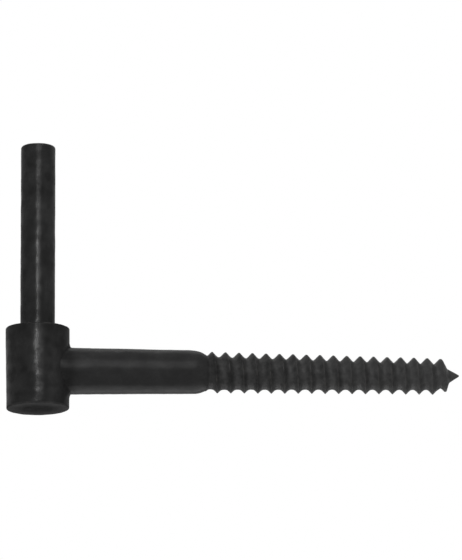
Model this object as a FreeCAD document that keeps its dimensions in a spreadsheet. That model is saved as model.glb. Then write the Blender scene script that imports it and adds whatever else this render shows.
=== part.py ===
"""Gate hinge pin: an upright pin on a round hub, with a tapered lag screw out of its side.

The screw is driven into a gate post, the strap of the gate drops over the pin, and the top of
the hub carries it. It is one piece of steel. +Z runs up the pin, +X runs along the screw to
its point, and the origin lies on the pin's axis at the top face of the hub. Sizes are in mm.
"""
import FreeCAD, Part
import math
import os
import Sketcher

NODE = "gate_hinge_pin"

# Driving dimensions: name, value, what it sets
SIZES = [
    ("pin_diameter", 13.0, "the pin that the eye of the strap turns on"),
    ("pin_height", 70.5, "top of the hub to the end of the pin"),
    ("pin_end_break", 0.6, "sloped edge round the end of the pin"),
    ("pin_foot_break", 0.6, "sloped corner between the pin and the hub"),
    ("hub_diameter", 24.0, "hub at its top face"),
    ("hub_height", 30.8, "top face of the hub to its foot"),
    ("hub_draft", 0.5, "degrees that the side of the hub leans in towards its foot"),
    ("hub_rim_break", 0.7, "sloped edge round the top face of the hub"),
    ("hub_foot_break", 1.0, "sloped edge round the foot of the hub"),
    ("screw_drop", 16.0, "top of the hub down to the axis of the screw"),
    ("shank_diameter", 17.7, "plain shank, measured on the axis of the pin"),
    ("shank_taper", 0.7, "degrees that the side of the shank closes towards the thread"),
    ("shank_end", 56.9, "axis of the pin to the start of the shoulder"),
    ("shank_fillet", 1.2, "corner between the shank and the hub"),
    ("shoulder_length", 6.9, "rounded step from the shank down to the core"),
    ("core_diameter", 12.5, "core of the thread at the shoulder"),
    ("core_taper", 0.95, "degrees that the side of the core closes towards the point"),
    ("point_start", 151.0, "axis of the pin to the foot of the point"),
    ("point_length", 7.7, "cone in front of the thread"),
    ("point_flat", 0.6, "blunt end of the point"),
    ("thread_diameter", 15.0, "crest of the thread at the shoulder"),
    ("thread_taper", 0.62, "degrees that the crest closes towards the point"),
    ("thread_pitch", 5.08, "one turn of the thread to the next"),
    ("thread_crest", 0.4, "flat on top of the ridge"),
    ("thread_flank", 47.0, "degrees between the side of the ridge and a plane across the screw"),
    ("thread_root_gap", 0.4, "left between two turns where they are buried in the core"),
    ("thread_sink", 3.2, "how deep the ridge is rooted in the core, so that it reaches the point"),
    ("first_turn", 3.73, "middle of the first turn, hidden in the shoulder, to the core"),
    ("thread_overrun", 4.2, "foot of the point to where the thread dies on it"),
    ("run_in", 1.6, "length over which the thread rises out of the shoulder"),
    ("run_out", 4.2, "length over which the thread dies on the point"),
]

# Places and radii that follow from them, as expressions over the sheet
HUB_RADIUS = "Sizes.hub_diameter / 2"
HUB_FOOT_RADIUS = "Sizes.hub_diameter / 2 - Sizes.hub_height * tan(Sizes.hub_draft * 1 deg)"
PIN_RADIUS = "Sizes.pin_diameter / 2"
SHANK_RADIUS = "Sizes.shank_diameter / 2"
SHANK_END_RADIUS = "Sizes.shank_diameter / 2 - Sizes.shank_end * tan(Sizes.shank_taper * 1 deg)"
CORE_START = "(Sizes.shank_end + Sizes.shoulder_length)"
CORE_RADIUS = "Sizes.core_diameter / 2"
CREST_RADIUS = "Sizes.thread_diameter / 2"
THREAD_START = f"({CORE_START} - Sizes.first_turn)"
THREAD_END = "(Sizes.point_start + Sizes.thread_overrun)"
POINT_END = "Sizes.point_start + Sizes.point_length"


def tapered(radius, taper, x):
    """A radius set where the core starts, closing by an angle up to x, as an expression."""
    return f"({radius} - ({x} - {CORE_START}) * tan(Sizes.{taper} * 1 deg))"


POINT_FOOT_RADIUS = tapered(CORE_RADIUS, "core_taper", "Sizes.point_start")
POINT_CONE = f"({POINT_FOOT_RADIUS} - Sizes.point_flat / 2) / Sizes.point_length"
THREAD_END_RADIUS = f"{POINT_FOOT_RADIUS} - Sizes.thread_overrun * {POINT_CONE}"

# The wall of the hub above and below the shank holds the shank's corner and the hub's own edge
WALL_ABOVE = f"(Sizes.screw_drop - {SHANK_RADIUS})"
WALL_BELOW = f"(Sizes.hub_height - Sizes.screw_drop - {SHANK_RADIUS})"
SHANK_FILLET = f"min(Sizes.shank_fillet; 0.45 * {WALL_ABOVE}; 0.45 * {WALL_BELOW})"
HUB_RIM_BREAK = f"min(Sizes.hub_rim_break; 0.45 * {WALL_ABOVE})"
HUB_FOOT_BREAK = f"min(Sizes.hub_foot_break; 0.45 * {WALL_BELOW})"


def make_sheet(doc):
    """The spreadsheet that every sketch and feature takes its sizes from."""
    sheet = doc.addObject("Spreadsheet::Sheet", "Sizes")
    for row, (alias, value, note) in enumerate(SIZES, start=1):
        sheet.set(f"A{row}", alias)
        sheet.set(f"B{row}", str(value))
        sheet.set(f"C{row}", note)
        sheet.setAlias(f"B{row}", alias)
    doc.recompute()
    return sheet


def value_of(sheet, expression):
    """What an expression over the sheet comes to now, as a plain number."""
    value = sheet.evalExpression(expression)
    return float(getattr(value, "Value", value))


def outline(body, sheet, name, corners, arc=None, on_screw=False):
    """A closed sketch in the XZ plane, with every corner tied to a pair of expressions.

    arc numbers the one side, counted from 0, that is an arc leaving the side before it without
    a corner. on_screw measures heights from the axis of the screw instead of the hub's top.
    """
    sketch = body.newObject("Sketcher::SketchObject", name)
    plane = [feature for feature in body.Origin.OriginFeatures if feature.Role == "XZ_Plane"][0]
    sketch.AttachmentSupport = (plane, "")
    sketch.MapMode = "FlatFace"
    if on_screw:
        sketch.setExpression("AttachmentOffset.Base.y", "-Sizes.screw_drop")
    points = [FreeCAD.Vector(value_of(sheet, x), value_of(sheet, y), 0) for x, y in corners]
    count = len(points)
    for side in range(count):
        start, end = points[side], points[(side + 1) % count]
        if side == arc:
            sketch.addGeometry(arc_from(points[side - 1], start, end))
        else:
            sketch.addGeometry(Part.LineSegment(start, end))
    for side in range(count):
        following = (side + 1) % count
        # an arc turns clockwise from its second end to its first
        leaving = 1 if side == arc else 2
        arriving = 2 if following == arc else 1
        kind = "Tangent" if following == arc else "Coincident"
        sketch.addConstraint(Sketcher.Constraint(kind, side, leaving, following, arriving))
    for side, pair in enumerate(corners):
        end = 2 if side == arc else 1
        for kind, axis, expression in zip(("DistanceX", "DistanceY"), (-2, -1), pair):
            if expression == "0":
                sketch.addConstraint(Sketcher.Constraint("PointOnObject", side, end, axis))
                continue
            rule = Sketcher.Constraint(kind, -1, 1, side, end, value_of(sheet, expression))
            number = sketch.addConstraint(rule)
            sketch.setExpression(f"Constraints[{number}]", expression)
    return sketch


def arc_from(before, start, end):
    """A clockwise arc that leaves start in the direction from before to start."""
    along = (start - before).normalize()
    inward = FreeCAD.Vector(along.y, -along.x, 0)
    chord = end - start
    radius = chord.dot(chord) / (2 * inward.dot(chord))
    centre = start + inward * radius
    angles = [math.atan2(point.y - centre.y, point.x - centre.x) for point in (end, start)]
    circle = Part.Circle(centre, FreeCAD.Vector(0, 0, 1), radius)
    return Part.ArcOfCircle(circle, *angles)


def turn(body, kind, name, sketch, axis):
    """Spins a sketch a full turn, to add with a Revolution or to cut with a Groove."""
    feature = body.newObject(f"PartDesign::{kind}", name)
    feature.Profile = sketch
    feature.ReferenceAxis = (sketch, [axis])
    feature.Angle = 360
    return feature


def middle(edge):
    """The point halfway along an edge."""
    return edge.valueAt((edge.FirstParameter + edge.LastParameter) / 2)


def ring(radius, z):
    """A test for edges that run round the pin's axis at this radius and height."""
    def test(edge):
        point = middle(edge)
        return abs(math.hypot(point.x, point.y) - radius) < 1e-3 and abs(point.z - z) < 1e-3
    return test


def shank_corner(sheet):
    """A test for the edges where the shank meets the side of the hub."""
    sizes = (HUB_RADIUS, HUB_FOOT_RADIUS, "Sizes.hub_height", "Sizes.screw_drop", SHANK_RADIUS)
    hub, foot, height, drop, shank = (value_of(sheet, size) for size in sizes)

    def test(edge):
        point = middle(edge)
        side = hub + (foot - hub) * -point.z / height
        on_side = abs(math.hypot(point.x, point.y) - side) < 1e-3
        return on_side and point.x > 0 and math.hypot(point.y, point.z + drop) < shank
    return test


def dress(body, kind, name, test, size):
    """Adds a fillet or a chamfer to the body's edges that pass a test."""
    body.Document.recompute()
    base = body.Tip
    edges = [f"Edge{number}" for number, edge in enumerate(base.Shape.Edges, start=1) if test(edge)]
    feature = body.newObject(f"PartDesign::{kind}", name)
    feature.Base = (base, edges)
    feature.setExpression("Radius" if kind == "Fillet" else "Size", size)


def make_blank(doc, sheet):
    """The forging before its thread is rolled: hub, pin, shank, core and point."""
    body = doc.addObject("PartDesign::Body", "Blank")
    upright = outline(body, sheet, "UprightOutline", [
        ("0", "-Sizes.hub_height"),
        (HUB_FOOT_RADIUS, "-Sizes.hub_height"),
        (HUB_RADIUS, "0"),
        (PIN_RADIUS, "0"),
        (PIN_RADIUS, "Sizes.pin_height"),
        ("0", "Sizes.pin_height"),
    ])
    turn(body, "Revolution", "HubAndPin", upright, "V_Axis")
    screw = outline(body, sheet, "ScrewOutline", [
        ("0", "0"),
        ("0", SHANK_RADIUS),
        ("Sizes.shank_end", SHANK_END_RADIUS),
        (CORE_START, CORE_RADIUS),
        ("Sizes.point_start", POINT_FOOT_RADIUS),
        (POINT_END, "Sizes.point_flat / 2"),
        (POINT_END, "0"),
    ], arc=2, on_screw=True)
    turn(body, "Revolution", "Screw", screw, "H_Axis")
    sizes = (PIN_RADIUS, HUB_RADIUS, HUB_FOOT_RADIUS, "Sizes.pin_height", "Sizes.hub_height")
    pin, hub, foot, height, depth = (value_of(sheet, size) for size in sizes)
    dress(body, "Fillet", "ShankCorner", shank_corner(sheet), SHANK_FILLET)
    dress(body, "Chamfer", "PinFoot", ring(pin, 0), "Sizes.pin_foot_break")
    dress(body, "Chamfer", "PinEnd", ring(pin, height), "Sizes.pin_end_break")
    dress(body, "Chamfer", "HubRim", ring(hub, 0), HUB_RIM_BREAK)
    dress(body, "Chamfer", "HubFoot", ring(foot, -depth), HUB_FOOT_BREAK)
    return body


def make_winding(doc, crest):
    """The path of the thread: a right-handed tapered helix that starts above the screw's axis."""
    path = doc.addObject("Part::Helix", "Winding")
    path.setExpression("Pitch", "Sizes.thread_pitch")
    path.setExpression("Height", f"{THREAD_END} - {THREAD_START}")
    path.setExpression("Radius", crest)
    path.setExpression("Angle", "-Sizes.thread_taper * 1 deg")
    # in quarter turns, so that each face of the ridge is short and simple
    path.SegmentLength = 0.25
    path.Placement.Rotation = FreeCAD.Rotation(FreeCAD.Vector(1, 0, 1), 180)
    path.setExpression("Placement.Base.x", THREAD_START)
    path.setExpression("Placement.Base.z", "-Sizes.screw_drop")
    return path


def make_thread(doc, sheet):
    """The ridge of the thread: a section swept along its path, then faded out at both ends."""
    crest = tapered(CREST_RADIUS, "thread_taper", THREAD_START)
    path = make_winding(doc, crest)
    body = doc.addObject("PartDesign::Body", "ThreadRidge")
    floor = f"{tapered(CORE_RADIUS, 'core_taper', THREAD_START)} - Sizes.thread_sink"
    top = "Sizes.thread_crest / 2"
    root = "(Sizes.thread_pitch - Sizes.thread_root_gap) / 2"
    knee = f"{crest} - ({root} - {top}) / tan(Sizes.thread_flank * 1 deg)"
    ridge = outline(body, sheet, "RidgeOutline", [
        (f"{THREAD_START} - {root}", floor),
        (f"{THREAD_START} - {root}", knee),
        (f"{THREAD_START} - {top}", crest),
        (f"{THREAD_START} + {top}", crest),
        (f"{THREAD_START} + {root}", knee),
        (f"{THREAD_START} + {root}", floor),
    ], on_screw=True)
    spine = body.newObject("PartDesign::SubShapeBinder", "Spine")
    spine.Support = [(path, "")]
    doc.recompute()
    sweep = body.newObject("PartDesign::AdditivePipe", "Ridge")
    sweep.Profile = ridge
    sweep.Spine = (spine, [f"Edge{number}" for number in range(1, len(spine.Shape.Edges) + 1)])
    sweep.Mode = "Frenet"

    # twice the ridge's height clears it, so the slope of the run-in is carried on that far
    clear = f"2 * {CREST_RADIUS} - {CORE_RADIUS}"
    behind = f"{THREAD_START} - Sizes.thread_pitch"
    rise = outline(body, sheet, "RunInOutline", [
        (behind, CORE_RADIUS),
        (CORE_START, CORE_RADIUS),
        (f"{CORE_START} + 2 * Sizes.run_in", clear),
        (behind, clear),
    ], on_screw=True)
    turn(body, "Groove", "RunIn", rise, "H_Axis")

    fall_start = f"({THREAD_END} - Sizes.run_out)"
    ahead = f"{THREAD_END} + Sizes.thread_pitch"
    fall = outline(body, sheet, "RunOutOutline", [
        (fall_start, clear),
        (fall_start, tapered(CREST_RADIUS, "thread_taper", fall_start)),
        (THREAD_END, THREAD_END_RADIUS),
        (ahead, THREAD_END_RADIUS),
        (ahead, clear),
    ], on_screw=True)
    turn(body, "Groove", "RunOut", fall, "H_Axis")
    return body


def check(doc, part):
    """Stops if a feature failed or the finished piece is not one sound solid."""
    for item in doc.Objects:
        if "Invalid" in item.State or "Error" in item.State:
            raise RuntimeError(f"{item.Label} failed: {item.State}")
    if part.Shape.isNull() or not part.Shape.isValid() or len(part.Shape.Solids) != 1:
        raise RuntimeError(f"{part.Label} is not one sound solid")


def main():
    doc = FreeCAD.newDocument("GateHingePin")
    sheet = make_sheet(doc)
    part = doc.addObject("Part::Fuse", "GateHingePin")
    part.Label = NODE
    part.Base = make_blank(doc, sheet)
    part.Tool = make_thread(doc, sheet)
    part.Placement = FreeCAD.Placement()
    doc.recompute()
    check(doc, part)
    os.makedirs("parts", exist_ok=True)
    part.Shape.exportStep(f"parts/{part.Label}.step")
    box = part.Shape.optimalBoundingBox(False, False)
    print(f"{part.Label}: {box.XLength:.1f} x {box.YLength:.1f} x {box.ZLength:.1f} mm,",
          f"{part.Shape.Volume / 1000:.2f} cm3")


main()
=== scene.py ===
# %% [markdown]
# # A gate hinge pin
#
# The object is one piece of forged steel with a thin black coat: a round hub, a plain pin that
# stands up out of it, and a tapered lag screw that leaves its side. The screw is driven into a
# gate post and the strap of the gate drops over the pin. Everything below is in metres, with
# +Z up the pin, +X along the screw, and the origin on the pin's axis at the top of the hub.

# %% Load the frame
import bmesh
import bpy
import math
from mathutils import Matrix, Vector


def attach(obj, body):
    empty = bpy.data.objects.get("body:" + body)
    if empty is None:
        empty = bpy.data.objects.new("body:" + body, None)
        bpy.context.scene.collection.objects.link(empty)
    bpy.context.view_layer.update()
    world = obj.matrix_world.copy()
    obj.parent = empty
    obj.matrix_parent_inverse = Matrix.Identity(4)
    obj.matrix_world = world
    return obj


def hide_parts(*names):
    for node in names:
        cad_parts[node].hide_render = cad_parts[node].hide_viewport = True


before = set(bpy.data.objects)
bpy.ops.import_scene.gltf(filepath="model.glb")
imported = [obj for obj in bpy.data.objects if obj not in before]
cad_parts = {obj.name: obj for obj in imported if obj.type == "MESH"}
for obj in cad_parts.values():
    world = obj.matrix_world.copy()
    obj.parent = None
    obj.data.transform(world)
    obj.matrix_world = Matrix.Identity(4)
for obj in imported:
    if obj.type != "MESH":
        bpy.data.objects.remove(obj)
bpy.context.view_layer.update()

MM = 0.001


# %% [markdown]
# The sizes are those of the solid, so that the dressed piece lies exactly where the solid does.
# Later, a forged skin with shallow waves may stand out from them by as much as SKIN. So the ends
# that touch the solid's box are shorter by that much. The widest places of the hub lie in hollows
# of the waves and need less. The hub narrows by half a degree towards its foot, as a forging
# does to leave its die, and its edges and the corner under the pin are rounded.

# %% Sizes of the hub and the pin
SKIN = 0.07 * MM
PIN_RADIUS = 6.5 * MM
PIN_HEIGHT = 70.5 * MM - SKIN
PIN_END_ROUND = 1.0 * MM
PIN_FOOT_FILLET = 1.3 * MM
HUB_RADIUS = 12.0 * MM - 0.3 * SKIN
HUB_HEIGHT = 30.8 * MM - SKIN
HUB_TAPER = math.tan(math.radians(0.5))
HUB_FOOT_RADIUS = HUB_RADIUS - HUB_HEIGHT * HUB_TAPER
HUB_RIM_FILLET = 0.45 * MM
HUB_FOOT_FILLET = 0.5 * MM
print("pin and hub are", round((PIN_HEIGHT + HUB_HEIGHT) / MM, 2), "mm tall together")

# %% [markdown]
# A forging has no truly sharp edge, and a sharp one would catch no light. The edges could be
# bevelled after the mesh is made. Rounding the corners of the outline first is exact and gives
# each corner its own radius, so the outline is a list of corners with their radii.

# %% Helpers for outlines
ROUND_STEPS = 5
OUTLINE_SPACING = 0.5 * MM


def rounded(corner, before, after, radius):
    """The points of a round that takes the place of one corner of an outline."""
    corner, before, after = Vector(corner), Vector(before), Vector(after)
    one, two = (before - corner).normalized(), (after - corner).normalized()
    half = one.angle(two) / 2
    reach = radius / math.tan(half)
    centre = corner + (one + two).normalized() * radius / math.sin(half)
    start, end = corner + one * reach - centre, corner + two * reach - centre
    turn = start.angle_signed(end)
    points = []
    for step in range(ROUND_STEPS + 1):
        spin = Matrix.Rotation(-turn * step / ROUND_STEPS, 2)
        points.append(centre + spin @ start)
    return points


def evenly(start, end, spacing=OUTLINE_SPACING):
    """Points from start up to, but not including, end."""
    start, end = Vector(start), Vector(end)
    count = max(1, round((end - start).length / spacing))
    return [start.lerp(end, step / count) for step in range(count)]


# %% The outline of the hub and the pin, from the foot up
corners = [
    ((0.0, -HUB_HEIGHT), 0.0),
    ((HUB_FOOT_RADIUS, -HUB_HEIGHT), HUB_FOOT_FILLET),
    ((HUB_RADIUS, 0.0), HUB_RIM_FILLET),
    ((PIN_RADIUS, 0.0), PIN_FOOT_FILLET),
    ((PIN_RADIUS, PIN_HEIGHT), PIN_END_ROUND),
    ((0.0, PIN_HEIGHT), 0.0),
]
outline = []
last = Vector(corners[0][0])
for index, (corner, radius) in enumerate(corners[1:-1], start=1):
    bend = rounded(corner, corners[index - 1][0], corners[index + 1][0], radius)
    outline += evenly(last, bend[0]) + bend[:-1]
    last = bend[-1]
outline += evenly(last, corners[-1][0]) + [Vector(corners[-1][0])]
print("outline points:", len(outline))

# %% [markdown]
# A body of revolution is one outline spun round its axis. Blender's own spin would leave a seam
# to merge. Here the last column of faces takes the first column's points again, and the rings
# next to the axis close to one point each, so both ends are shut and the skin has no seam.

# %% Spin the outline round the pin's axis
LATHE_STEPS = 144


def turned(outline, steps):
    """A closed mesh of revolution about Z, from an outline that starts and ends on the axis."""
    mesh = bmesh.new()
    foot = mesh.verts.new((0, 0, outline[0].y))
    head = mesh.verts.new((0, 0, outline[-1].y))
    rings = []
    for point in outline[1:-1]:
        ring = []
        for step in range(steps):
            angle = 2 * math.pi * step / steps
            across = point.x * math.cos(angle), point.x * math.sin(angle)
            ring.append(mesh.verts.new((*across, point.y)))
        rings.append(ring)
    for step in range(steps):
        after = (step + 1) % steps
        mesh.faces.new((foot, rings[0][after], rings[0][step]))
        for low, high in zip(rings, rings[1:]):
            mesh.faces.new((low[step], low[after], high[after], high[step]))
        mesh.faces.new((head, rings[-1][step], rings[-1][after]))
    return mesh


hub_and_pin = turned(outline, LATHE_STEPS)
print("hub and pin:", len(hub_and_pin.faces), "faces")

# %% [markdown]
# A real hub is not quite true: the dies leave it leaning a little, and the shear that cuts its
# foot leaves that face askew. Both are so small that moving the points by a rule is enough.

# %% Lean the hub and cut its foot askew
HUB_LEAN = 0.2 * MM
FOOT_SKEW = math.tan(math.radians(0.5))
FOOT_SKEW_REACH = 8 * MM


def sheared_off(mesh):
    """Leans the hub a little towards +X and cuts its foot askew, as the die and the shear do."""
    for vertex in mesh.verts:
        down = max(0.0, -vertex.co.z / HUB_HEIGHT)
        near_foot = max(0.0, 1.0 - (vertex.co.z + HUB_HEIGHT) / FOOT_SKEW_REACH)
        vertex.co.z += (vertex.co.x + HUB_RADIUS) * FOOT_SKEW * near_foot
        vertex.co.x += HUB_LEAN * down
    return mesh


def as_object(mesh, name):
    """A bmesh made into an object of the scene."""
    data = bpy.data.meshes.new(name)
    mesh.to_mesh(data)
    mesh.free()
    piece = bpy.data.objects.new(name, data)
    bpy.context.scene.collection.objects.link(piece)
    return piece


upright = as_object(sheared_off(hub_and_pin), "hub_and_pin")
print("hub and pin measure in mm:", [round(size / MM, 2) for size in upright.dimensions])

# %% [markdown]
# The screw is a rule, not a drawing: at each place along it the radius is the larger of a plain
# tapered bar and a ridge that winds round it. So a node tree makes it. The mesh is one long
# ribbon of quads that winds round the axis once per pitch, with the crest of the thread along
# its middle. Its two long edges meet and are merged. Rows that follow the crest keep it crisp,
# where rows straight round the bar would cut it into steps.

# %% Sizes of the screw
SCREW_DROP = 16.0 * MM
SHANK_RADIUS = 8.9 * MM
SHANK_END = 56.9 * MM
SHOULDER_LENGTH = 6.9 * MM
CORE_START = SHANK_END + SHOULDER_LENGTH
CORE_RADIUS = 6.16 * MM
CREST_RADIUS = 7.77 * MM
PITCH = 5.08 * MM
FIRST_CREST = CORE_START - 4.01 * MM
POINT_START = 151.0 * MM
POINT_END = 158.7 * MM - SKIN
SHANK_SLOPE = math.tan(math.radians(0.7))
CORE_SLOPE = math.tan(math.radians(0.95))
CREST_SLOPE = math.tan(math.radians(0.62))
THREAD_END = POINT_START + 3.8 * MM
print("the thread winds", round((THREAD_END - CORE_START) / PITCH, 1), "times round its core")

# %% [markdown]
# The screw's shape and the coat's colours are both sums of a few lengths. Blender works out such
# sums with Math nodes, one node for each step, in geometry and in materials alike. Placing and
# linking them one by one hides the sum, so this small kit makes a node from a line of Python.

# %% A small kit for writing sums as nodes
class Sums:
    """Writes sums with the Math nodes of one node tree."""

    def __init__(self, tree):
        self.tree = tree

    def feed(self, socket, value):
        """Types a number on a socket, or links another node's output to it."""
        if isinstance(value, (int, float)):
            socket.default_value = value
        else:
            self.tree.links.new(value, socket)

    def do(self, operation, *inputs):
        """One Math node."""
        node = self.tree.nodes.new("ShaderNodeMath")
        node.operation = operation
        for socket, value in zip(node.inputs, inputs):
            self.feed(socket, value)
        return node.outputs[0]

    def add(self, one, two):
        return self.do("ADD", one, two)

    def less(self, one, two):
        return self.do("SUBTRACT", one, two)

    def times(self, one, two):
        return self.do("MULTIPLY", one, two)

    def over(self, one, two):
        return self.do("DIVIDE", one, two)

    def least(self, one, two):
        return self.do("MINIMUM", one, two)

    def most(self, one, two):
        return self.do("MAXIMUM", one, two)

    def past(self, one, two):
        """How far one number lies past another, and 0 before it."""
        return self.most(self.less(one, two), 0.0)

    def is_past(self, one, two):
        """1 where one number is past another, 0 elsewhere."""
        return self.do("GREATER_THAN", one, two)

    def root(self, value):
        return self.do("SQRT", value)

    def squared(self, value):
        return self.times(value, value)

    def either(self, choice, one, two):
        """The first where the choice is 1 and the second where it is 0."""
        return self.add(self.times(choice, one), self.times(self.less(1.0, choice), two))

    def mapped(self, value, low, high, start=0.0, end=1.0):
        """A value's place between low and high, kept between start and end."""
        node = self.tree.nodes.new("ShaderNodeMapRange")
        for socket, number in zip(node.inputs, (value, low, high, start, end)):
            self.feed(socket, number)
        return node.outputs[0]

    def noise(self, place, size, detail, seed):
        """A cloudy pattern whose patches are about as wide as size, from 0 to 1."""
        node = self.tree.nodes.new("ShaderNodeTexNoise")
        node.noise_dimensions = "4D"
        self.tree.links.new(place, node.inputs["Vector"])
        scale = 1.0 / size if isinstance(size, float) else self.over(1.0, size)
        for label, number in (("Scale", scale), ("Detail", detail), ("W", seed)):
            self.feed(node.inputs[label], number)
        return node.outputs[0]


print("sums kit:", [name for name in vars(Sums) if not name.startswith("_")])

# %% [markdown]
# The finish is a thin black coat over forged steel, and it is never one flat colour. It is
# thinner in some patches and along the edges, and greyer on the thread, where rolling left the
# steel rough. Some light and shade is painted into the colour as well. Painted light makes the
# thread lighter towards its point and in its grooves. Painted shade makes the sheared foot, which
# looks down and has almost no gloss, the darkest place, with painted light towards its rim. A
# painted picture would need seams. Noise on Object coordinates needs none and stays fixed to the
# piece from every side. The first step is to say where on the piece a point lies, as numbers
# from 0 to 1.

# %% Places on the piece
coat = bpy.data.materials.new("black_coat")
coat.use_nodes = True
coat_tree = coat.node_tree
shader = coat_tree.nodes["Principled BSDF"]
sums = Sums(coat_tree)
place = coat_tree.nodes.new("ShaderNodeTexCoord").outputs["Object"]
split = coat_tree.nodes.new("ShaderNodeSeparateXYZ")
coat_tree.links.new(place, split.inputs[0])
x, y, z = split.outputs


def between(value, start, full, fading, end):
    """1 from full to fading, going softly down to 0 at start and at end."""
    return sums.least(sums.mapped(value, start, full), sums.mapped(value, fading, end, 1.0, 0.0))


on_screw = sums.mapped(x, HUB_RADIUS - 0.5 * MM, HUB_RADIUS + 4 * MM)
on_thread = sums.mapped(x, CORE_START - 2 * MM, CORE_START + 4 * MM)
# painted light along the thread: 0 where the core starts, 1 where the point starts
painted_light_to_point = sums.mapped(x, CORE_START, POINT_START)
on_foot = sums.mapped(z, -HUB_HEIGHT + 1.0 * MM, -HUB_HEIGHT + 0.4 * MM)
# painted light on the foot: 0 near its middle, 1 at its rim
foot_rim_painted_light = sums.mapped(sums.root(sums.add(sums.squared(x), sums.squared(y))), 5 * MM, 12 * MM)
by_pin_foot = between(z, -6 * MM, -1 * MM, 8 * MM, 13 * MM)
by_screw_root = between(x, 6 * MM, 9 * MM, 12 * MM, 15 * MM)
core_here = sums.less(CORE_RADIUS, sums.times(sums.less(x, CORE_START), CORE_SLOPE))
below_axis = sums.add(z, SCREW_DROP)
from_screw = sums.root(sums.add(sums.squared(below_axis), sums.squared(y)))
# painted light in the grooves: 1 at the core, where shade falls, and 0 from 1.5 mm above it
painted_groove_light = sums.mapped(sums.less(from_screw, core_here), 0.0, 1.5 * MM, 1.0, 0.0)
print("places:", len(coat_tree.nodes), "nodes")

# %% [markdown]
# Each region has a colour for where the coat is thick and one for where it is thin and lets the
# steel through. The foot is the exception: its pair is painted shade in the middle and painted
# light at the rim. On the thread, painted light lifts the colour towards the point and in the
# grooves. They are nearly neutral greys, because this coat has almost no tint of its own.
# A few mixed colours, laid over each other from the hub outwards, are easier to tune than
# one long colour ramp. The edges that stick out read an attribute, edge_wear, which a later step
# writes on the mesh.

# %% The colour of the coat
HUB_COAT = (0.0093, 0.0093, 0.0093), (0.0172, 0.0172, 0.0173)
SHANK_COAT = (0.0158, 0.0158, 0.0159), (0.0245, 0.0245, 0.0246)
# painted shade in the middle of the foot that looks down, going over to painted light at its rim
FOOT_PAINTED_SHADE = (0.0048, 0.0048, 0.0048), (0.028, 0.028, 0.0282)
THREAD_COAT = (0.0155, 0.0155, 0.0155), (0.060, 0.060, 0.060)
ROLLED_STEEL = (0.016, 0.016, 0.0161), (0.060, 0.0598, 0.0594)
WORN_STEEL = (0.055, 0.053, 0.05)
STEEL_SHARE = 0.4          # how much of the thread's colour is bare rolled steel
RUBBED_SHARE = 0.5         # how much of the steel shows where an edge is rubbed most
# painted light: how far the thread's colour is lifted towards the point and in its grooves
PAINTED_LIGHT_TO_POINT = 0.8
PAINTED_GROOVE_LIGHT = 0.35


def blended(tree, factor, first, second):
    """A colour between two colours, by a factor from 0 to 1."""
    node = tree.nodes.new("ShaderNodeMix")
    node.data_type = "RGBA"
    Sums(tree).feed(node.inputs["Factor"], factor)
    colours = [socket for socket in node.inputs if socket.type == "RGBA"]
    for socket, colour in zip(colours, (first, second)):
        if isinstance(colour, tuple):
            socket.default_value = (*colour, 1)
        else:
            tree.links.new(colour, socket)
    return [socket for socket in node.outputs if socket.type == "RGBA"][0]


patches = sums.mapped(sums.noise(place, 7 * MM, detail=5.0, seed=1.0), 0.35, 0.65)
specks = sums.mapped(sums.noise(place, 1.3 * MM, detail=3.0, seed=2.0), 0.4, 0.7, 0.5, 1.0)
thin = sums.times(patches, specks)
colour = blended(coat_tree, thin, *HUB_COAT)
colour = blended(coat_tree, on_screw, colour, blended(coat_tree, thin, *SHANK_COAT))
# the foot gets painted shade, lighter towards its rim as painted light
colour = blended(coat_tree, on_foot, colour, blended(coat_tree, foot_rim_painted_light, *FOOT_PAINTED_SHADE))

# painted light on the thread, lighter towards the point and down in the grooves
painted_thread_light = sums.add(sums.times(painted_light_to_point, PAINTED_LIGHT_TO_POINT),
                     sums.times(painted_groove_light, PAINTED_GROOVE_LIGHT))
scale_marks = sums.mapped(sums.noise(place, 2.2 * MM, detail=4.0, seed=8.0), 0.38, 0.66)
thread = blended(coat_tree, STEEL_SHARE, blended(coat_tree, painted_thread_light, *THREAD_COAT),
                 blended(coat_tree, scale_marks, *ROLLED_STEEL))
colour = blended(coat_tree, on_thread, colour, thread)

worn_edge = coat_tree.nodes.new("ShaderNodeAttribute")
worn_edge.attribute_name = "edge_wear"
scuffs = sums.mapped(sums.noise(place, 2.5 * MM, detail=4.0, seed=3.0), 0.45, 0.65)
rubbed = sums.times(worn_edge.outputs["Fac"], scuffs)
colour = blended(coat_tree, sums.times(rubbed, RUBBED_SHARE), colour, WORN_STEEL)
coat_tree.links.new(colour, shader.inputs["Base Color"])
print("with its colour the coat has", len(coat_tree.nodes), "nodes")

# %% [markdown]
# The coat shines softly and unevenly, as paint does over a forged surface. The gloss is a clear
# layer on top, because a clear layer can fade from place to place while the black under it stays
# black. It is strongest in patches on the pin and the hub, evener and weaker on the screw, and
# nearly nothing on the foot. Numbers that are the same all over are typed on the shader itself.

# %% How rough and how glossy the coat is
ROUGHNESS = 0.30, 0.46     # from the smoothest patches to the roughest
FOOT_ROUGHER = 0.35
BASE_SHINE = 0.01          # next to none, because the clear layer gives the shine
GLOSS = 0.08, 0.21         # from the dullest blotches to the glossiest
GLOSS_ROUGHNESS = 0.24
SCREW_BLOTCHES = 0.35      # how blotchy the screw's gloss is, against the pin's
DULLER = [                 # the share of the gloss that is left in some places
    (by_pin_foot, 0.6),
    (by_screw_root, 0.4),
    (on_screw, 0.55),
    (on_thread, 0.5),
    (on_foot, 0.05),
]
rough_patches = sums.noise(place, 3.5 * MM, detail=4.0, seed=4.0)
roughness = sums.mapped(rough_patches, 0.3, 0.7, *ROUGHNESS)
roughness = sums.add(roughness, sums.times(on_foot, FOOT_ROUGHER))
coat_tree.links.new(roughness, shader.inputs["Roughness"])
shader.inputs["Specular IOR Level"].default_value = BASE_SHINE


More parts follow.
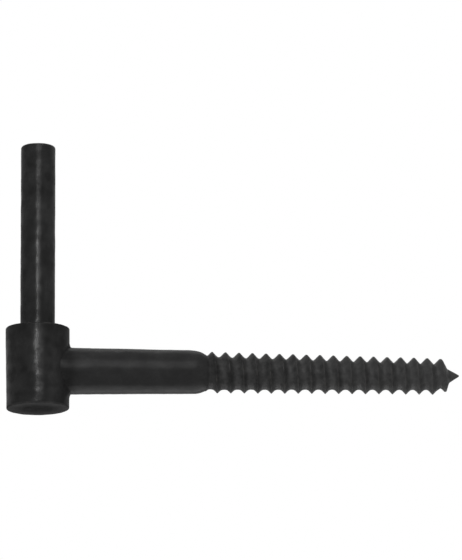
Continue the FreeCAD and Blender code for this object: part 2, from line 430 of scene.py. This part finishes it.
def dulled(gloss, where, share):
    """A gloss that is cut to a share of itself in one place."""
    return sums.times(gloss, sums.mapped(where, 0.0, 1.0, 1.0, share))


blotches = sums.mapped(sums.noise(place, 3.4 * MM, detail=1.5, seed=6.0), 0.38, 0.62)
evened = sums.add(0.5, dulled(sums.less(blotches, 0.5), on_screw, SCREW_BLOTCHES))
gloss = sums.mapped(evened, 0.0, 1.0, *GLOSS)
for where, share in DULLER:
    gloss = dulled(gloss, where, share)
coat_tree.links.new(gloss, shader.inputs["Coat Weight"])
shader.inputs["Coat Roughness"].default_value = GLOSS_ROUGHNESS
print("with its gloss the coat has", len(coat_tree.nodes), "nodes")

# %% [markdown]
# Close up, the coat has a fine grain like that of any sprayed or dipped finish. It is far too
# fine for the mesh and changes no outline, so it only tilts the light, by a Bump node.

# %% The grain of the coat
GRAIN_SIZE = 0.7 * MM
GRAIN_DEPTH = 0.03 * MM
GRAIN_STRENGTH = 0.5
grain = sums.noise(place, GRAIN_SIZE, detail=3.0, seed=5.0)
bump = coat_tree.nodes.new("ShaderNodeBump")
bump.inputs["Strength"].default_value = GRAIN_STRENGTH
bump.inputs["Distance"].default_value = GRAIN_DEPTH
coat_tree.links.new(grain, bump.inputs["Height"])
coat_tree.links.new(bump.outputs["Normal"], shader.inputs["Normal"])
coat_tree.links.new(bump.outputs["Normal"], shader.inputs["Coat Normal"])
print("coat:", len(coat_tree.nodes), "nodes")

# %% [markdown]
# A node tree for geometry has named inputs, so that every size can be changed on the modifier
# without opening the tree. A script sets them by an identifier, not by the name, and only a
# lookup finds it. These helpers make a tree, close it with the nodes that the export needs, and
# run it on an object to leave a plain mesh.

# %% Helpers for geometry node trees
def new_tree(name, inputs):
    """A geometry node tree with one geometry in and out, and the named inputs."""
    tree = bpy.data.node_groups.new(name, "GeometryNodeTree")
    tree.interface.new_socket("Geometry", in_out="INPUT", socket_type="NodeSocketGeometry")
    tree.interface.new_socket("Geometry", in_out="OUTPUT", socket_type="NodeSocketGeometry")
    for label, kind, value in inputs:
        socket = tree.interface.new_socket(label, in_out="INPUT", socket_type=f"NodeSocket{kind}")
        if value is not None:
            socket.default_value = value
    return tree


def identifier_of(tree, name):
    """The identifier of a named input of a node tree."""
    for item in tree.interface.items_tree:
        if item.item_type == "SOCKET" and item.in_out == "INPUT" and item.name == name:
            return item.identifier
    raise KeyError(name)


def end_tree(tree, geometry, material):
    """Realizes the instances, sets the material and links the result to the tree's output."""
    plain = tree.nodes.new("GeometryNodeRealizeInstances")
    tree.links.new(geometry, plain.inputs[0])
    finish = tree.nodes.new("GeometryNodeSetMaterial")
    tree.links.new(plain.outputs[0], finish.inputs["Geometry"])
    tree.links.new(material, finish.inputs["Material"])
    tree.links.new(finish.outputs[0], tree.nodes.new("NodeGroupOutput").inputs["Geometry"])


def grown(name, tree, inputs, base=None):
    """Runs a node tree on an object, in the coat's material, and keeps the plain mesh."""
    seed = base or as_object(bmesh.new(), name)
    modifier = seed.modifiers.new(name, "NODES")
    modifier.node_group = tree
    for label, kind, value in inputs:
        modifier[identifier_of(tree, label)] = coat if kind == "Material" else value
    settled = seed.evaluated_get(bpy.context.evaluated_depsgraph_get())
    result = bpy.data.meshes.new_from_object(settled)
    result.name = name
    seed.modifiers.remove(modifier)
    seed.data = result
    return seed


print("a tree of these helpers runs in Blender", bpy.app.version_string)

# %% [markdown]
# The tree of the screw has one input for each size that a maker could measure. The thread isn't
# perfect: its ridge lies a little off the axis of the core, its two die halves are a little out
# of step, the screw bows slightly, and the last turn fades out on the point. Those are inputs
# too, so each can be set to nothing to see what it does. Least Kept is the share of the radius
# under which the closing skin goes straight to the axis, because smaller rings would only give
# slivers.

# %% The inputs of the screw's tree
SCREW_INPUTS = [
    ("Pitch", "Float", PITCH),
    ("First Crest", "Float", FIRST_CREST),
    ("Turns Back", "Float", 13.0),
    ("Turns", "Float", 34.0),
    ("Steps Per Turn", "Int", 84),
    ("Rows", "Int", 18),
    ("Row Packing", "Float", 0.55),
    ("Shank Radius", "Float", SHANK_RADIUS),
    ("Shank Slope", "Float", SHANK_SLOPE),
    ("Shank End", "Float", SHANK_END),
    ("Shoulder Power", "Float", 2.8),
    ("Core Start", "Float", CORE_START),
    ("Core Radius", "Float", CORE_RADIUS),
    ("Core Slope", "Float", CORE_SLOPE),
    ("Crest Radius", "Float", CREST_RADIUS),
    ("Crest Slope", "Float", CREST_SLOPE),
    ("Crest Flat", "Float", 0.3 * MM),
    ("Flank Angle", "Float", math.radians(43.5)),
    ("Root Round", "Float", 1.1 * MM),
    ("Run In Start", "Float", CORE_START - 1.6 * MM),
    ("Run In Slope", "Float", 0.875),
    ("Run In Margin", "Float", 0.5 * MM),
    ("Thread End", "Float", THREAD_END),
    ("Fade Turn", "Float", 17.9),
    ("Fade", "Float", 1.45 * MM),
    ("Last Turn", "Float", 18.55),
    ("Last Fade", "Float", 12.0 * MM),
    ("End Slope", "Float", 3.0),
    ("Last Flank", "Float", 1.75),
    ("Last Flank Reach", "Float", 1.5 * MM),
    ("Off Centre", "Float", 0.17 * MM),
    ("Off Centre Reach", "Float", 5.0 * MM),
    ("Die Shift", "Float", 0.17 * MM),
    ("Bow Start", "Float", 13.0 * MM),
    ("Shank Rise", "Float", 0.0053),
    ("Shoulder Step", "Float", 0.215 * MM),
    ("Thread Fall", "Float", 0.0041),
    ("Point Rise", "Float", 0.065),
    ("Point Start", "Float", POINT_START),
    ("Point End", "Float", POINT_END),
    ("Point Flat", "Float", 0.3 * MM),
    ("Point Close", "Float", 0.6 * MM),
    ("Hub Radius", "Float", HUB_RADIUS - SCREW_DROP * HUB_TAPER),
    ("Corner Rise", "Float", 3.6 * MM),
    ("Corner Reach", "Float", 0.8 * MM),
    ("Corner Front", "Float", 0.12),
    ("Buried End", "Float", 4.0 * MM),
    ("Buried Close", "Float", 4.0 * MM),
    ("Least Kept", "Float", 0.2),
    ("Weld", "Float", 0.001 * MM),
    ("Drop", "Float", SCREW_DROP),
    ("Material", "Material", None),
]
sizes = {label: value for label, kind, value in SCREW_INPUTS}
print("the screw's tree has", len(sizes), "inputs")

# %% [markdown]
# The tree works on a flat grid. One side of the grid runs along the winding, the other across
# one pitch. Each point then gets a turn, which tells how far round the axis it is, and a place
# across the thread, from -0.5 to 0.5 of a pitch. Rows are packed closer near the crest by taking
# a sine away from an even spacing, because the crest is the sharpest place.

# %% The ribbon that winds along the screw
def wound_ribbon(sums, given):
    """A grid, and for each of its points the turn, the place in the pitch and the way up."""
    steps = sums.times(given["Turns"], given["Steps Per Turn"])
    grid = sums.tree.nodes.new("GeometryNodeMeshGrid")
    sums.feed(grid.inputs["Size X"], given["Turns"])
    sums.feed(grid.inputs["Size Y"], 1.0)
    sums.feed(grid.inputs["Vertices X"], sums.add(steps, 1))
    sums.feed(grid.inputs["Vertices Y"], sums.add(given["Rows"], 1))
    spot = sums.tree.nodes.new("GeometryNodeInputPosition").outputs[0]
    split = sums.tree.nodes.new("ShaderNodeSeparateXYZ")
    sums.tree.links.new(spot, split.inputs[0])
    along, across = split.outputs["X"], split.outputs["Y"]
    turn = sums.add(along, sums.less(sums.times(given["Turns"], 0.5), given["Turns Back"]))
    wave = sums.do("SINE", sums.times(across, 2 * math.pi))
    packed = sums.less(across, sums.times(sums.over(given["Row Packing"], 2 * math.pi), wave))
    upward = sums.do("COSINE", sums.times(turn, 2 * math.pi))
    return grid.outputs["Mesh"], turn, packed, upward


def place_along(sums, given, turn, packed, upward):
    """How far along the screw each point lies, with the two die halves a little out of step."""
    crest = sums.add(given["First Crest"], sums.times(turn, given["Pitch"]))
    crest = sums.add(crest, sums.times(upward, given["Die Shift"]))
    return sums.add(crest, sums.times(packed, given["Pitch"]))


print("ribbon:", round(sizes["Turns"] * sizes["Steps Per Turn"]), "steps by", sizes["Rows"], "rows")

# %% [markdown]
# The plain bar under the thread is a tapered shank, a shoulder that rounds over to the thinner
# core, the core, and a cone for the point. On the real screw all of it is forged before the
# thread is rolled on. Straight tapers follow from a radius and a slope, and the shoulder from a
# power of the way down it, which starts softly and ends steeply.

# %% The bar under the thread
def tapered(sums, radius, slope, way):
    """A radius that shrinks along the way by a slope."""
    return sums.less(radius, sums.times(way, slope))


def point_cone(sums, given):
    """The radius of the core where the point starts, and the slope of the point's cone."""
    core_length = sums.less(given["Point Start"], given["Core Start"])
    foot = tapered(sums, given["Core Radius"], given["Core Slope"], core_length)
    length = sums.less(given["Point End"], given["Point Start"])
    return foot, sums.over(sums.less(foot, given["Point Flat"]), length)


def rounded_shoulder(sums, given, x, shank):
    """The shank's radius, falling over the shoulder to the core's."""
    reach = sums.less(given["Core Start"], given["Shank End"])
    share = sums.least(sums.over(sums.past(x, given["Shank End"]), reach), 1.0)
    at_end = tapered(sums, given["Shank Radius"], given["Shank Slope"], given["Shank End"])
    at_core = tapered(sums, at_end, given["Shank Slope"], reach)
    fall = sums.less(at_core, given["Core Radius"])
    return sums.less(shank, sums.times(fall, sums.do("POWER", share, given["Shoulder Power"])))


def plain_bar(sums, given, x, upward, shank):
    """The radius of the bar, with the core sunk a little where the ridge stands off centre."""
    past_core = sums.past(x, given["Core Start"])
    core = tapered(sums, given["Core Radius"], given["Core Slope"], past_core)
    eased = sums.over(sums.least(past_core, given["Off Centre Reach"]), given["Off Centre Reach"])
    sunk = sums.times(sums.times(given["Off Centre"], upward), eased)
    is_core = sums.is_past(x, given["Core Start"])
    shoulder = rounded_shoulder(sums, given, x, shank)
    bar = sums.either(is_core, sums.less(core, sunk), shoulder)
    foot, slope = point_cone(sums, given)
    return sums.least(bar, tapered(sums, foot, slope, sums.less(x, given["Point Start"])))


core_at_point = CORE_RADIUS - (POINT_START - CORE_START) * CORE_SLOPE
print("the core's radius in mm, from", CORE_RADIUS / MM, "to", round(core_at_point / MM, 2))

# %% [markdown]
# The thread is a ridge with a small flat on its crest and two straight flanks. A rolling die
# raises it out of the core, so it grows from nothing at the shoulder, and it fades over the last
# turn on the point, where the metal runs out. A smooth maximum of bar and ridge rounds the
# groove between two crests, as the die does. Where one turn of the ribbon meets the next, the
# same place is reached from both sides, so whatever depends on the side is blended there.

# %% The ridge of the thread
SEAM_BLEND = 0.15      # in pitches, how far from the seam the front flank's steepness fades
NEXT_TURN_FROM = 0.3   # in pitches, from where on a point counts towards the next turn


def crest_radius(sums, given, x, upward):
    """The radius of the crest, a little further out on top than below."""
    way = sums.less(x, given["Core Start"])
    crest = tapered(sums, given["Crest Radius"], given["Crest Slope"], way)
    return sums.add(crest, sums.times(given["Off Centre"], upward))


def flank_fall(sums, given, x, packed):
    """How far the flank has fallen below the crest. The front flank is steeper on the point."""
    phase = sums.times(packed, given["Pitch"])
    away = sums.past(sums.do("ABSOLUTE", phase), sums.times(given["Crest Flat"], 0.5))
    end = sums.add(given["Point Start"], given["Last Flank Reach"])
    on_point = sums.mapped(x, given["Point Start"], end)
    by_seam = sums.mapped(packed, -0.5, -0.5 + SEAM_BLEND, 1.0, 0.0)
    in_front = sums.times(on_point, sums.most(sums.is_past(phase, 0.0), by_seam))
    steeper = sums.add(1.0, sums.times(in_front, sums.less(given["Last Flank"], 1.0)))
    return sums.over(sums.times(away, steeper), sums.do("TANGENT", given["Flank Angle"]))


def last_turns(sums, given, turn, packed):
    """How far the crest is lowered over the last turns, slowly at first and then fast."""
    now = sums.add(turn, sums.mapped(packed, NEXT_TURN_FROM, 0.5))
    return sums.add(sums.times(sums.past(now, given["Fade Turn"]), given["Fade"]),
                    sums.times(sums.past(now, given["Last Turn"]), given["Last Fade"]))


def thread_ridge(sums, given, x, turn, packed, upward):
    """The radius of the ridge, cut down by a slope at each end."""
    crest = crest_radius(sums, given, x, upward)
    flank = sums.less(crest, flank_fall(sums, given, x, packed))
    fading = last_turns(sums, given, turn, packed)
    faded = sums.least(sums.less(flank, sums.times(fading, 0.5)), sums.less(crest, fading))
    past_start = sums.past(x, given["Run In Start"])
    rise = sums.add(given["Core Radius"], sums.times(past_start, given["Run In Slope"]))
    foot, slope = point_cone(sums, given)
    end = tapered(sums, foot, slope, sums.less(given["Thread End"], given["Point Start"]))
    to_end = sums.less(given["Thread End"], x)
    ending = sums.add(end, sums.times(to_end, given["End Slope"]))
    return sums.least(sums.least(faded, rise), ending)


def threaded(sums, given, x, bar, ridge):
    """The bar with the ridge on it, and the grooves between the crests rounded."""
    joined = sums.do("SMOOTH_MAX", bar, ridge, given["Root Round"])
    start = sums.less(given["Run In Start"], given["Run In Margin"])
    return sums.either(sums.is_past(x, start), joined, bar)


print("the ridge stands", round((CREST_RADIUS - CORE_RADIUS) / MM, 2), "mm out of the core")

# %% [markdown]
# Where the shank leaves the hub, the forging has a large rounded corner above and below, and
# hardly any at the front and the back, where the round hub falls away from the shank. The corner
# could be cut into the joined mesh later, but here it is only one more sum: close to the hub's
# side the radius grows by a quarter of an ellipse. The two ends of the screw close on the axis.
# One is sharp, and the other is buried in the hub.

# %% The corner at the hub and the closed ends
CORNER_LIMIT = 0.94      # how far into the hub's side the ellipse is followed
CORNER_MIDDLE = 0.3      # the share of the corner's rise at which the hub's side is met


def hub_corner(sums, given, x, turn, upward, shank):
    """How much the shank widens close to the hub's round side."""
    angle = sums.times(turn, 2 * math.pi)
    widened = sums.add(shank, sums.times(given["Corner Rise"], CORNER_MIDDLE))
    sideways = sums.times(widened, sums.do("SINE", angle))
    side = sums.root(sums.less(sums.do("POWER", given["Hub Radius"], 2.0),
                               sums.do("POWER", sideways, 2.0)))
    gap = sums.over(sums.less(x, side), given["Corner Reach"])
    near = sums.times(sums.most(sums.least(sums.less(1.0, gap), 1.0), 0.0), CORNER_LIMIT)
    ellipse = sums.less(1.0, sums.root(sums.less(1.0, sums.squared(near))))
    around = sums.mapped(sums.squared(upward), 0.0, 1.0, given["Corner Front"], 1.0)
    return sums.times(sums.times(given["Corner Rise"], ellipse), around)


def closed_ends(sums, given, x, radius):
    """The radius brought down to nothing beyond both ends of the screw."""
    over_tip = sums.over(sums.past(x, given["Point End"]), given["Point Close"])
    under_end = sums.over(sums.past(given["Buried End"], x), given["Buried Close"])
    kept = sums.past(1.0, sums.add(over_tip, under_end))
    kept = sums.times(kept, sums.is_past(kept, given["Least Kept"]))
    return sums.most(sums.times(radius, kept), 0.0)


print("the corner at the hub rises up to", round(sizes["Corner Rise"] / MM, 1), "mm")

# %% [markdown]
# Last, the radius is wound round the axis. A right-hand thread moves away from the hub as it
# turns clockwise, seen from the hub, so the ribbon goes from the top of the screw to its front.
# The axis itself isn't quite straight: the shank rises a little, the thread falls back, and the
# point turns up. The merge joins the long edges of the ribbon, and the rings that have shrunk
# onto the axis. Its distance is tiny, so that it joins nothing else.

# %% The node tree of the screw
def bowed_axis(sums, given, level):
    """How far the screw's axis lies above a straight one."""
    on_shank = sums.past(sums.least(level, given["Shank End"]), given["Bow Start"])
    on_thread = sums.past(level, given["Shank End"])
    on_point = sums.past(level, given["Point Start"])
    over_shoulder = sums.mapped(level, given["Shank End"], given["Core Start"])
    bow = sums.less(sums.times(on_shank, given["Shank Rise"]),
                    sums.times(on_thread, given["Thread Fall"]))
    bow = sums.add(bow, sums.times(on_point, given["Point Rise"]))
    return sums.less(bow, sums.times(over_shoulder, given["Shoulder Step"]))


def wound(sums, given, level, turn, upward, radius):
    """The position of each point, from its place along the screw, its turn and its radius."""
    sideways = sums.times(radius, sums.do("SINE", sums.times(turn, 2 * math.pi)))
    height = sums.less(sums.times(radius, upward), given["Drop"])
    put = sums.tree.nodes.new("ShaderNodeCombineXYZ")
    sums.feed(put.inputs["X"], level)
    sums.feed(put.inputs["Y"], sums.times(sideways, -1.0))
    sums.feed(put.inputs["Z"], sums.add(height, bowed_axis(sums, given, level)))
    return put.outputs[0]


def screw_tree():
    """The whole screw: shank, shoulder, thread and point."""
    tree = new_tree("lag_screw", SCREW_INPUTS)
    given = tree.nodes.new("NodeGroupInput").outputs
    sums = Sums(tree)
    ribbon, turn, packed, upward = wound_ribbon(sums, given)
    x = place_along(sums, given, turn, packed, upward)
    shank = tapered(sums, given["Shank Radius"], given["Shank Slope"], x)
    bar = plain_bar(sums, given, x, upward, shank)
    ridge = thread_ridge(sums, given, x, turn, packed, upward)
    radius = threaded(sums, given, x, bar, ridge)
    radius = sums.add(radius, hub_corner(sums, given, x, turn, upward, shank))
    radius = closed_ends(sums, given, x, radius)
    level = sums.least(sums.most(x, given["Buried End"]), given["Point End"])

    wind = tree.nodes.new("GeometryNodeSetPosition")
    tree.links.new(ribbon, wind.inputs["Geometry"])
    tree.links.new(wound(sums, given, level, turn, upward, radius), wind.inputs["Position"])
    weld = tree.nodes.new("GeometryNodeMergeByDistance")
    tree.links.new(given["Weld"], weld.inputs["Distance"])
    tree.links.new(wind.outputs[0], weld.inputs["Geometry"])
    end_tree(tree, weld.outputs[0], given["Material"])
    return tree


screw = grown("lag_screw", screw_tree(), SCREW_INPUTS)
print("lag screw:", len(screw.data.polygons), "faces")

# %% Check that the screw is closed
check = bmesh.new()
check.from_mesh(screw.data)
print("open edges:", sum(edge.is_boundary for edge in check.edges),
      "volume in cm3:", round(check.calc_volume(signed=True) * 1e6, 3))
check.free()

# %% [markdown]
# The real thing is one forging, so the two skins become one. They could just overlap, but then
# faces would lie hidden inside. A Boolean union cuts those away and leaves one closed skin.

# %% Join the screw to the hub
def united(base, other):
    """The union of two closed objects, as a plain mesh on the first."""
    join = base.modifiers.new("union", "BOOLEAN")
    join.operation = "UNION"
    join.solver = "EXACT"
    join.object = other
    settled = base.evaluated_get(bpy.context.evaluated_depsgraph_get())
    result = bpy.data.meshes.new_from_object(settled)
    base.modifiers.remove(join)
    base.data = result
    bpy.data.objects.remove(other)
    return base


upright.data.materials.append(coat)
forging = united(upright, screw)
forging.name = "hinge_pin_forging"
print("forging:", len(forging.data.polygons), "faces")

# %% [markdown]
# Forged steel is not quite true: the dies leave shallow waves and small dents, and they are what
# breaks the highlight on the pin into short bright stretches. Sculpting them by hand would
# differ each time, and bump alone wouldn't change the outline, so a second node tree moves the
# skin itself. It moves most places inwards, and none outwards by more than the margin SKIN that
# the sizes leave free. It also measures how sharply the skin turns at each point and keeps that
# as an attribute, edge_wear, because an edge that sticks out is where a coat rubs through first.

# %% The inputs of the forged skin's tree
SKIN_INPUTS = [
    ("Wave Size", "Float", 9.0 * MM),
    ("Wave Depth", "Float", 0.10 * MM),
    ("Dent Size", "Float", 2.6 * MM),
    ("Dent Depth", "Float", 0.09 * MM),
    ("Detail", "Float", 2.0),
    ("Stand Out", "Float", SKIN),
    ("Seed", "Float", 11.0),
    ("Dent Seed", "Float", 16.0),
    ("Soft Turn", "Float", 0.07),
    ("Sharp Turn", "Float", 0.25),
    ("Material", "Material", None),
]
skin_sizes = {label: value for label, kind, value in SKIN_INPUTS}
print("the skin's tree has", len(skin_sizes), "inputs")


# %% How the forged skin is worn and pressed
def number_socket(sockets):
    """The socket of a node that takes or gives a plain number."""
    return [socket for socket in sockets if socket.type == "VALUE"][0]


def with_edge_wear(sums, given):
    """The geometry with an attribute for how sharply it turns, softened over its neighbours."""
    nodes, links = sums.tree.nodes, sums.tree.links
    turn = nodes.new("GeometryNodeInputMeshEdgeAngle").outputs["Signed Angle"]
    soft = nodes.new("GeometryNodeBlurAttribute")
    soft.data_type = "FLOAT"
    soft.inputs["Iterations"].default_value = 2
    links.new(turn, number_socket(soft.inputs))
    wear = sums.mapped(number_socket(soft.outputs), given["Soft Turn"], given["Sharp Turn"])
    kept = nodes.new("GeometryNodeStoreNamedAttribute")
    kept.data_type = "FLOAT"
    kept.domain = "POINT"
    kept.inputs["Name"].default_value = "edge_wear"
    links.new(given["Geometry"], kept.inputs["Geometry"])
    links.new(wear, number_socket(kept.inputs))
    return kept.outputs["Geometry"]


def pressed_in(sums, given, geometry):
    """The geometry with waves and dents, pressed in along the skin's own direction."""
    nodes, links = sums.tree.nodes, sums.tree.links
    spot = nodes.new("GeometryNodeInputPosition").outputs[0]

    def hollows(size, seed):
        return sums.mapped(sums.noise(spot, size, given["Detail"], seed), 0.25, 0.75)

    wave = sums.times(hollows(given["Wave Size"], given["Seed"]), given["Wave Depth"])
    dent = sums.times(hollows(given["Dent Size"], given["Dent Seed"]), given["Dent Depth"])
    depth = sums.less(sums.add(wave, dent), given["Stand Out"])
    press = nodes.new("ShaderNodeVectorMath")
    press.operation = "SCALE"
    links.new(nodes.new("GeometryNodeInputNormal").outputs[0], press.inputs[0])
    links.new(sums.times(depth, -1.0), press.inputs["Scale"])
    moved = nodes.new("GeometryNodeSetPosition")
    links.new(geometry, moved.inputs["Geometry"])
    links.new(press.outputs[0], moved.inputs["Offset"])
    return moved.outputs[0]


deepest = skin_sizes["Wave Depth"] + skin_sizes["Dent Depth"] - skin_sizes["Stand Out"]
print("the deepest hollow can be", round(deepest / MM, 2), "mm below the sizes")


# %% The forged skin, and what it rides on
def skin_tree():
    """The whole forged skin."""
    tree = new_tree("forged_skin", SKIN_INPUTS)
    given = tree.nodes.new("NodeGroupInput").outputs
    sums = Sums(tree)
    skin = pressed_in(sums, given, with_edge_wear(sums, given))
    end_tree(tree, skin, given["Material"])
    return tree


SHARP_EDGE = math.radians(35)
forging = grown("hinge_pin_forging", skin_tree(), SKIN_INPUTS, base=forging)
for polygon in forging.data.polygons:
    polygon.use_smooth = True
forging.data.set_sharp_from_angle(angle=SHARP_EDGE)
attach(forging, "root")
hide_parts("gate_hinge_pin")
print("forging:", len(forging.data.polygons), "faces,",
      [slot.material.name for slot in forging.material_slots])

# %% [markdown]
# The photograph was taken from slightly below and slightly to the left, from so far away that
# the sides hardly converge. So the camera stands 1.5 m off with a very long lens. Its place was
# found by fitting the outline of the solid to the outline in the photograph. The fit gives the
# lens in pixels, and the longer side of the picture turns that into millimetres of a sensor.

# %% The camera
TARGET = Vector((72.72, 0.0, 19.90)) * MM
AZIMUTH, ELEVATION, ROLL = (math.radians(angle) for angle in (-5.675, -13.5, -0.43))
DISTANCE = 1.524
LENS_IN_PIXELS = 4050
LONGER_SIDE = 560
SENSOR = 36.0


def seen_from(azimuth, elevation):
    """The direction from the object to a place round it. Azimuth 0 is in front, towards -Y."""
    return Vector((math.sin(azimuth) * math.cos(elevation),
                   -math.cos(azimuth) * math.cos(elevation),
                   math.sin(elevation)))


back = seen_from(AZIMUTH, ELEVATION)
right = Vector((0, 0, 1)).cross(back).normalized()
up = back.cross(right)
across = right * math.cos(ROLL) + up * math.sin(ROLL)
upward = up * math.cos(ROLL) - right * math.sin(ROLL)
camera_data = bpy.data.cameras.new("camera")
camera_data.sensor_width = SENSOR
camera_data.lens = LENS_IN_PIXELS / LONGER_SIDE * SENSOR
camera_data.clip_end = 20
camera = bpy.data.objects.new("camera", camera_data)
bpy.context.scene.collection.objects.link(camera)
placed = Matrix((across, upward, back)).transposed().to_4x4()
placed.translation = TARGET + back * DISTANCE
camera.matrix_world = placed
bpy.context.scene.camera = camera
print("lens in mm:", round(camera_data.lens, 1))

# %% [markdown]
# A black piece shows its shape by its highlights. A broad key lamp in front gives the body its
# soft light, a small one draws the thin bright line down the pin and the hub, and a low one
# draws the band along the underside of the screw. It stands past straight down, so its elevation
# is past -90 degrees. Weak lamps at the side and the back keep the other sides from going flat.

# %% The lamps
LAMPS = [
    # name, aim in mm, azimuth, elevation, distance, width and height in m, power in W
    ("key_lamp", (72, 0, 0), -2, 27, 1.2, 0.6, 0.8, 7.0),
    ("pin_lamp", (0, 0, 3), -6, 13.5, 0.23, 0.02, 0.06, 0.17),
    ("low_lamp", (72, 0, 0), -5, -115, 0.42, 0.5, 0.40, 2.2),
    ("side_lamp", (100, 0, 0), 50, 5, 1.0, 0.5, 0.5, 0.35),
    ("back_lamp", (72, 0, 0), 176, 62, 1.3, 0.8, 0.6, 2.0),
]


def lamp(name, aim, azimuth, elevation, distance, width, height, power):
    """An area lamp that points at one place of the object from an angle."""
    data = bpy.data.lights.new(name, "AREA")
    data.shape = "RECTANGLE"
    data.size = width
    data.size_y = height
    data.energy = power
    light = bpy.data.objects.new(name, data)
    bpy.context.scene.collection.objects.link(light)
    away = seen_from(math.radians(azimuth), math.radians(elevation))
    light.location = Vector(aim) * MM + away * distance
    light.rotation_euler = away.to_track_quat("Z", "Y").to_euler()
    light.visible_camera = False


for row in LAMPS:
    lamp(*row)
print("lamps:", len(LAMPS))

# %% [markdown]
# A studio photograph on white has a bright background and soft, weak light from all round. One
# even world can't give both: if it is bright enough for the background, it washes the black
# piece out. So the world and the floor ask what kind of ray looks at them. They are bright for
# the camera and for reflections, and greyer for the light that they throw on the piece.

# %% The world
WORLD_LIGHT = (0.5, 0.5, 0.5)
WORLD_SEEN = (1.0, 1.0, 1.0)
bpy.context.scene.view_settings.view_transform = "Standard"


def seen_directly(tree):
    """1 for the rays of the camera and of reflections, 0 for the light on the piece."""
    path = tree.nodes.new("ShaderNodeLightPath").outputs
    sums = Sums(tree)
    looked_at = sums.most(path["Is Camera Ray"], path["Is Glossy Ray"])
    return sums.most(looked_at, path["Is Transmission Ray"])


world = bpy.data.worlds.new("studio")
world.use_nodes = True
bpy.context.scene.world = world
sky = world.node_tree
sky.links.new(blended(sky, seen_directly(sky), WORLD_LIGHT, WORLD_SEEN),
              sky.nodes["Background"].inputs["Color"])
print("world:", len(sky.nodes), "nodes")

# %% The floor
FLOOR_LIGHT = (0.4, 0.4, 0.4)
FLOOR_SEEN = (0.85, 0.85, 0.85)
FLOOR_GLOW = 0.25
FLOOR_HEIGHT = -0.5
FLOOR_REACH = 4.0
paint = bpy.data.materials.new("pale_floor")
paint.use_nodes = True
paint_tree = paint.node_tree
paint_shader = paint_tree.nodes["Principled BSDF"].inputs
paint_shader["Roughness"].default_value = 0.9
paint_shader["Specular IOR Level"].default_value = 0.1
paint_shader["Emission Color"].default_value = (1, 1, 1, 1)
looked_at = seen_directly(paint_tree)
paint_tree.links.new(blended(paint_tree, looked_at, FLOOR_LIGHT, FLOOR_SEEN),
                     paint_shader["Base Color"])
paint_tree.links.new(Sums(paint_tree).times(looked_at, FLOOR_GLOW),
                     paint_shader["Emission Strength"])
floor_mesh = bmesh.new()
bmesh.ops.create_grid(floor_mesh, x_segments=1, y_segments=1, size=FLOOR_REACH)
floor = as_object(floor_mesh, "floor")
floor.location = (0, 0, FLOOR_HEIGHT)
floor.data.materials.append(paint)
print("floor:", FLOOR_HEIGHT, "m below the hub's top")

# %% [markdown]
# The first must not reach outside the second.
